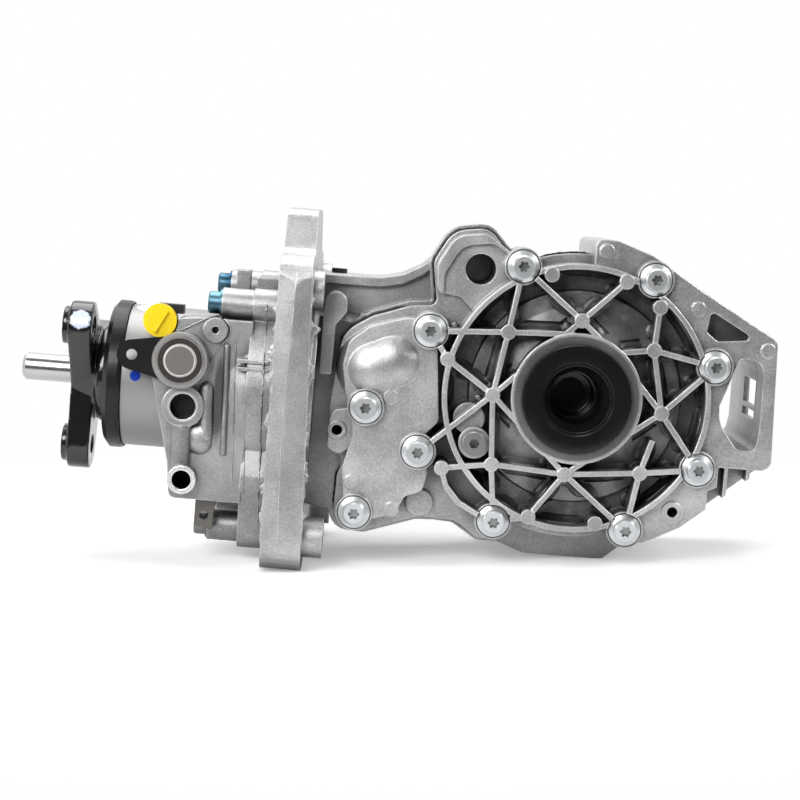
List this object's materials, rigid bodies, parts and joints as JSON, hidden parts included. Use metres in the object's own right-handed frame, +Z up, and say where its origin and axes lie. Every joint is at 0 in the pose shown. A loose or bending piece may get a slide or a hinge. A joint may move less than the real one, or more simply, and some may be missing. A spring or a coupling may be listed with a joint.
{
  "type": "rear differential",
  "caption": "Rear final drive with a multi-plate clutch coupling, a hypoid gear pair and a bevel differential in a ribbed cast housing.",
  "frame": {"origin": "centre of the propshaft flange's coupling face, on the pinion axis", "axes": "+X to the rear of the car along the pinion axis, +Y across the car away from the ribbed side cover, +Z up, square to the output axis"},
  "size_m": [0.4353, 0.16, 0.2026],
  "materials": {
    "cast_housing": "die-cast, shot-blasted",
    "cast_cover": "die-cast, shot-blasted",
    "cast_coupling": "die-cast, shot-blasted",
    "can_steel": "zinc-plated, satin",
    "sealant": "cured silicone",
    "gasket": "coated sheet",
    "zinc_bolt": "zinc-plated",
    "blue_bolt": "blue passivated zinc",
    "cap_steel": "turned",
    "connector_black": "moulded",
    "cap_yellow": "moulded",
    "bracket_black": "e-coated",
    "tab_steel": "pressed, oiled",
    "plug_steel": "zinc-plated",
    "ground_steel": "ground",
    "seal_rubber": "moulded",
    "bearing_steel": "ground",
    "flange_black": "gloss e-coat",
    "ring_black": "satin e-coat",
    "drum_steel": "stamped",
    "plate_steel": "tumbled",
    "gear_steel": "lapped and phosphated",
    "friction_paper": "friction paper on steel",
    "piston_aluminium": "turned",
    "case_iron": "cast and turned",
    "pin_steel": "ground",
    "bronze": "stamped bronze",
    "bevel_steel": "forged"
  },
  "bodies": {
    "housing": {"main_housing": "cast_housing", "side_cover": "cast_cover", "coupling_housing": "cast_coupling", "clutch_can": "can_steel", "cover_sealant": "sealant", "coupling_gasket": "gasket", "cover_bolts": "zinc_bolt", "coupling_bolts": "blue_bolt", "accumulator_cap": "cap_steel", "harness_connector": "connector_black", "connector_cap": "cap_yellow", "harness_bracket": "bracket_black", "corner_tab": "tab_steel", "fill_plug": "plug_steel", "drain_plug": "plug_steel", "breather": "connector_black", "dowels": "ground_steel", "output_seals": "seal_rubber", "input_seal": "seal_rubber", "pinion_seal": "seal_rubber", "input_bearing_outer": "bearing_steel", "pinion_bearing_cups": "bearing_steel", "diff_bearing_cups": "bearing_steel"},
    "input": {"companion_flange": "flange_black", "input_shaft": "ground_steel", "flange_nut": "plug_steel", "dust_ring": "ring_black", "clutch_drum": "drum_steel", "steel_plates": "plate_steel", "pressure_plate": "plate_steel", "input_bearing_inner": "bearing_steel", "pilot_bearing": "bearing_steel"},
    "pinion": {"pinion_gear": "gear_steel", "clutch_hub": "drum_steel", "friction_plates": "friction_paper", "hub_snap_ring": "gear_steel", "pinion_nut": "plug_steel", "pinion_spacer": "drum_steel", "pinion_tail_cone": "bearing_steel", "pinion_head_cone": "bearing_steel"},
    "piston": {"clutch_piston": "piston_aluminium", "thrust_bearing": "bearing_steel", "piston_seals": "seal_rubber"},
    "differential": {"differential_case": "case_iron", "ring_gear": "gear_steel", "cross_pin": "pin_steel", "lock_pin": "pin_steel", "side_washers": "bronze", "spider_washers": "bronze", "diff_cone_near": "bearing_steel", "diff_cone_far": "bearing_steel"},
    "side_near": {"side_gear_near": "bevel_steel"},
    "side_far": {"side_gear_far": "bevel_steel"},
    "spider_top": {"spider_gear_top": "bevel_steel"},
    "spider_bottom": {"spider_gear_bottom": "bevel_steel"}
  },
  "joints": [
    {"name": "input_spin", "type": "hinge", "parent": "housing", "child": "input", "pos_m": [0, 0, 0], "axis": [1, 0, 0], "continuous": true},
    {"name": "output_spin", "type": "hinge", "parent": "housing", "child": "differential", "pos_m": [0.294, 0, 0.0125], "axis": [0, 1, 0], "continuous": true},
    {"name": "pinion_spin", "type": "hinge", "parent": "housing", "child": "pinion", "pos_m": [0.2, 0, 0], "axis": [1, 0, 0], "continuous": true},
    {"name": "piston_slide", "type": "slide", "parent": "housing", "child": "piston", "axis": [-1, 0, 0], "range_m": [0, 0.0012]},
    {"name": "side_near_spin", "type": "hinge", "parent": "differential", "child": "side_near", "pos_m": [0.294, 0, 0.0125], "axis": [0, 1, 0], "continuous": true},
    {"name": "side_far_spin", "type": "hinge", "parent": "differential", "child": "side_far", "pos_m": [0.294, 0, 0.0125], "axis": [0, 1, 0], "continuous": true},
    {"name": "spider_top_spin", "type": "hinge", "parent": "differential", "child": "spider_top", "pos_m": [0.294, 0, 0.0125], "axis": [0, 0, 1], "continuous": true},
    {"name": "spider_bottom_spin", "type": "hinge", "parent": "differential", "child": "spider_bottom", "pos_m": [0.294, 0, 0.0125], "axis": [0, 0, 1], "continuous": true}
  ],
  "couplings": [
    {"joint": "pinion_spin", "follows": "output_spin", "ratio": -2.6923},
    {"joint": "side_far_spin", "follows": "side_near_spin", "ratio": -1},
    {"joint": "spider_top_spin", "follows": "side_near_spin", "ratio": 1.4},
    {"joint": "spider_bottom_spin", "follows": "side_near_spin", "ratio": -1.4}
  ]
}
